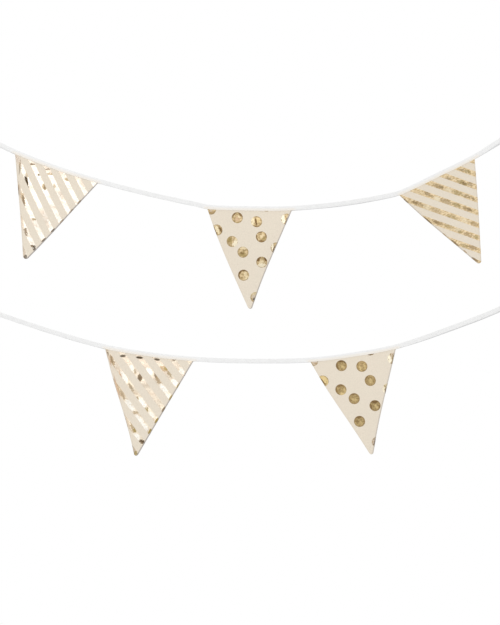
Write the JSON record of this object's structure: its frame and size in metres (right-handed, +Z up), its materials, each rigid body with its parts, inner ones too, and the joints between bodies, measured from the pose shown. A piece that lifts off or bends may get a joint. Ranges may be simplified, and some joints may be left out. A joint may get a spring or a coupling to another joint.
{
  "type": "fabric bunting",
  "caption": "Cotton pennant bunting hung in two swags: striped and spotted triangular flags sewn into a folded binding tape with looped ends.",
  "frame": {"origin": "inside the eye of the upper end loop, where it bears on the hook that holds it", "axes": "+X along the swags from the looped ends towards the turn, +Y to the rear, away from the viewer, +Z up"},
  "size_m": [1.1318, 0.0586, 0.6668],
  "materials": {
    "natural_cotton": "natural cotton with a metallic gold print",
    "white_tape": "white cotton bias binding"
  },
  "bodies": {
    "root": {"binding_upper": "white_tape", "binding_turn": "white_tape", "binding_lower": "white_tape", "striped_flag_upper_left": "natural_cotton", "spotted_flag_upper_middle": "natural_cotton", "striped_flag_upper_right": "natural_cotton", "spotted_flag_lower_right": "natural_cotton", "striped_flag_lower_left": "natural_cotton", "end_loop_upper": "white_tape", "end_loop_lower": "white_tape"}
  },
  "joints": []
}
